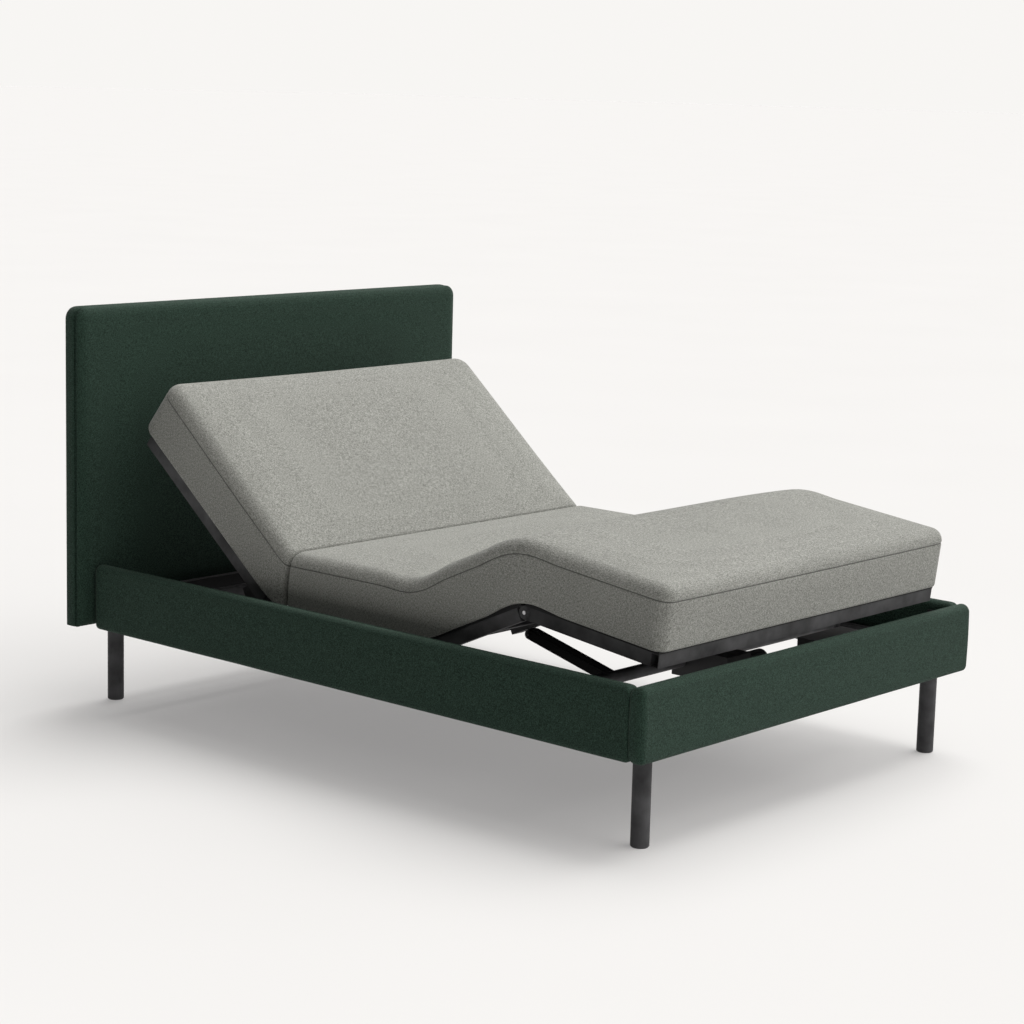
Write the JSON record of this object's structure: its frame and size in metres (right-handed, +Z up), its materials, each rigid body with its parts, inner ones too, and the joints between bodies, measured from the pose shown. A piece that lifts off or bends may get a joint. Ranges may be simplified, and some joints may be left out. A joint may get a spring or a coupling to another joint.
{
  "type": "adjustable bed base",
  "caption": "Upholstered adjustable bed with headboard, padded rails, round legs, a raised head deck, bent leg deck and a two-piece mattress.",
  "frame": {"origin": "on the floor, at the middle of the overall box", "axes": "+Z up, +Y towards the headboard, +X across the bed"},
  "size_m": [1.506, 2.035, 1.125],
  "materials": {
    "green_weave": "dark green woven upholstery, matt",
    "grey_melange": "warm grey melange mattress cover",
    "black_steel": "satin black powder coat",
    "black_board": "thin black felt over board",
    "black_plastic": "matt black moulded housing",
    "nylon": "dark nylon",
    "zinc_steel": "zinc plated"
  },
  "bodies": {
    "base": {"headboard_pad": "green_weave", "headboard_board": "black_board", "side_rail_left": "green_weave", "side_rail_right": "green_weave", "foot_rail": "green_weave", "head_cross_rail": "black_board", "foot_corner_bracket_left": "black_steel", "foot_corner_bracket_right": "black_steel", "head_corner_bracket_left": "black_steel", "head_corner_bracket_right": "black_steel", "leg_foot_left": "black_steel", "leg_foot_right": "black_steel", "leg_head_left": "black_steel", "leg_head_right": "black_steel", "frame_side_tube_left": "black_steel", "frame_side_tube_right": "black_steel", "frame_cross_tube_foot": "black_steel", "frame_cross_tube_middle": "black_steel", "frame_cross_tube_head": "black_steel", "seat_panel": "black_board", "seat_side_tube_left": "black_steel", "seat_side_tube_right": "black_steel", "head_guide_left": "black_steel", "head_guide_right": "black_steel", "thigh_guide_left": "black_steel", "thigh_guide_right": "black_steel", "head_drive": "black_plastic", "foot_drive": "black_plastic", "control_box": "black_plastic", "mattress_seat": "grey_melange"},
    "head_section": {"head_panel": "black_board", "head_side_tube_left": "black_steel", "head_side_tube_right": "black_steel", "head_carriage_left": "black_steel", "head_carriage_right": "black_steel", "head_push_frame": "black_steel", "head_end_tube": "black_steel", "mattress_back": "grey_melange"},
    "thigh_section": {"thigh_panel": "black_board", "thigh_side_tube_left": "black_steel", "thigh_side_tube_right": "black_steel", "thigh_carriage_left": "black_steel", "thigh_carriage_right": "black_steel", "thigh_push_frame": "black_steel", "mattress_thigh": "grey_melange"},
    "calf_section": {"calf_panel": "black_board", "calf_side_tube_left": "black_steel", "calf_side_tube_right": "black_steel", "knee_pin_left": "zinc_steel", "knee_pin_right": "zinc_steel", "foot_end_bar": "black_steel", "mattress_calf": "grey_melange"},
    "head_lift": {"head_lift_tube": "black_steel"},
    "head_roller_left": {"head_roller_left": "nylon"},
    "head_roller_right": {"head_roller_right": "nylon"},
    "head_slide": {"head_slide_block": "nylon"},
    "foot_lift": {"foot_lift_tube": "black_steel"},
    "foot_roller_left": {"foot_roller_left": "nylon"},
    "foot_roller_right": {"foot_roller_right": "nylon"},
    "foot_slide": {"foot_slide_block": "nylon"}
  },
  "joints": [
    {"name": "head_lift", "type": "hinge", "parent": "base", "child": "head_section", "pos_m": [0, 0.2885, 0.495], "axis": [1, 0, 0], "range_deg": [-39, 21]},
    {"name": "thigh_lift", "type": "hinge", "parent": "base", "child": "thigh_section", "pos_m": [0, -0.1905, 0.45], "axis": [-1, 0, 0], "range_deg": [-24.5, 10.5]},
    {"name": "knee_fold", "type": "hinge", "parent": "thigh_section", "child": "calf_section", "pos_m": [0, -0.545, 0.49199], "axis": [1, 0, 0], "range_deg": [-31.5, 13.5]},
    {"name": "head_lift_tube_turn", "type": "hinge", "parent": "base", "child": "head_lift", "pos_m": [0, 0.7025, 0.285], "axis": [-1, 0, 0], "range_deg": [-20, 11]},
    {"name": "foot_lift_tube_turn", "type": "hinge", "parent": "base", "child": "foot_lift", "pos_m": [0, -0.6175, 0.3], "axis": [1, 0, 0], "range_deg": [-13, 6]},
    {"name": "head_slide_travel", "type": "slide", "parent": "base", "child": "head_slide", "axis": [0, -1, 0], "range_m": [-0.012, 0.0065]},
    {"name": "foot_slide_travel", "type": "slide", "parent": "base", "child": "foot_slide", "axis": [0, 1, 0], "range_m": [-0.008, 0.0035]},
    {"name": "head_roller_left_turn", "type": "hinge", "parent": "head_lift", "child": "head_roller_left", "pos_m": [-0.33, 0.45216, 0.38614], "axis": [1, 0, 0], "range_deg": [-160, 90]},
    {"name": "foot_roller_left_turn", "type": "hinge", "parent": "foot_lift", "child": "foot_roller_left", "pos_m": [-0.33, -0.35126, 0.36885], "axis": [1, 0, 0], "range_deg": [-90, 45]},
    {"name": "head_roller_right_turn", "type": "hinge", "parent": "head_lift", "child": "head_roller_right", "pos_m": [0.33, 0.45216, 0.38614], "axis": [1, 0, 0], "range_deg": [-160, 90]},
    {"name": "foot_roller_right_turn", "type": "hinge", "parent": "foot_lift", "child": "foot_roller_right", "pos_m": [0.33, -0.35126, 0.36885], "axis": [1, 0, 0], "range_deg": [-90, 45]}
  ],
  "couplings": [
    {"joint": "knee_fold", "follows": "thigh_lift", "ratio": 1.28},
    {"joint": "head_lift_tube_turn", "follows": "head_lift", "ratio": 0.5},
    {"joint": "foot_lift_tube_turn", "follows": "thigh_lift", "ratio": 0.52},
    {"joint": "head_slide_travel", "follows": "head_lift", "m_per_rad": 0.017},
    {"joint": "foot_slide_travel", "follows": "thigh_lift", "m_per_rad": 0.0177},
    {"joint": "head_roller_left_turn", "follows": "head_lift", "ratio": 3.8},
    {"joint": "foot_roller_left_turn", "follows": "thigh_lift", "ratio": 3.3},
    {"joint": "head_roller_right_turn", "follows": "head_lift", "ratio": 3.8},
    {"joint": "foot_roller_right_turn", "follows": "thigh_lift", "ratio": 3.3}
  ]
}
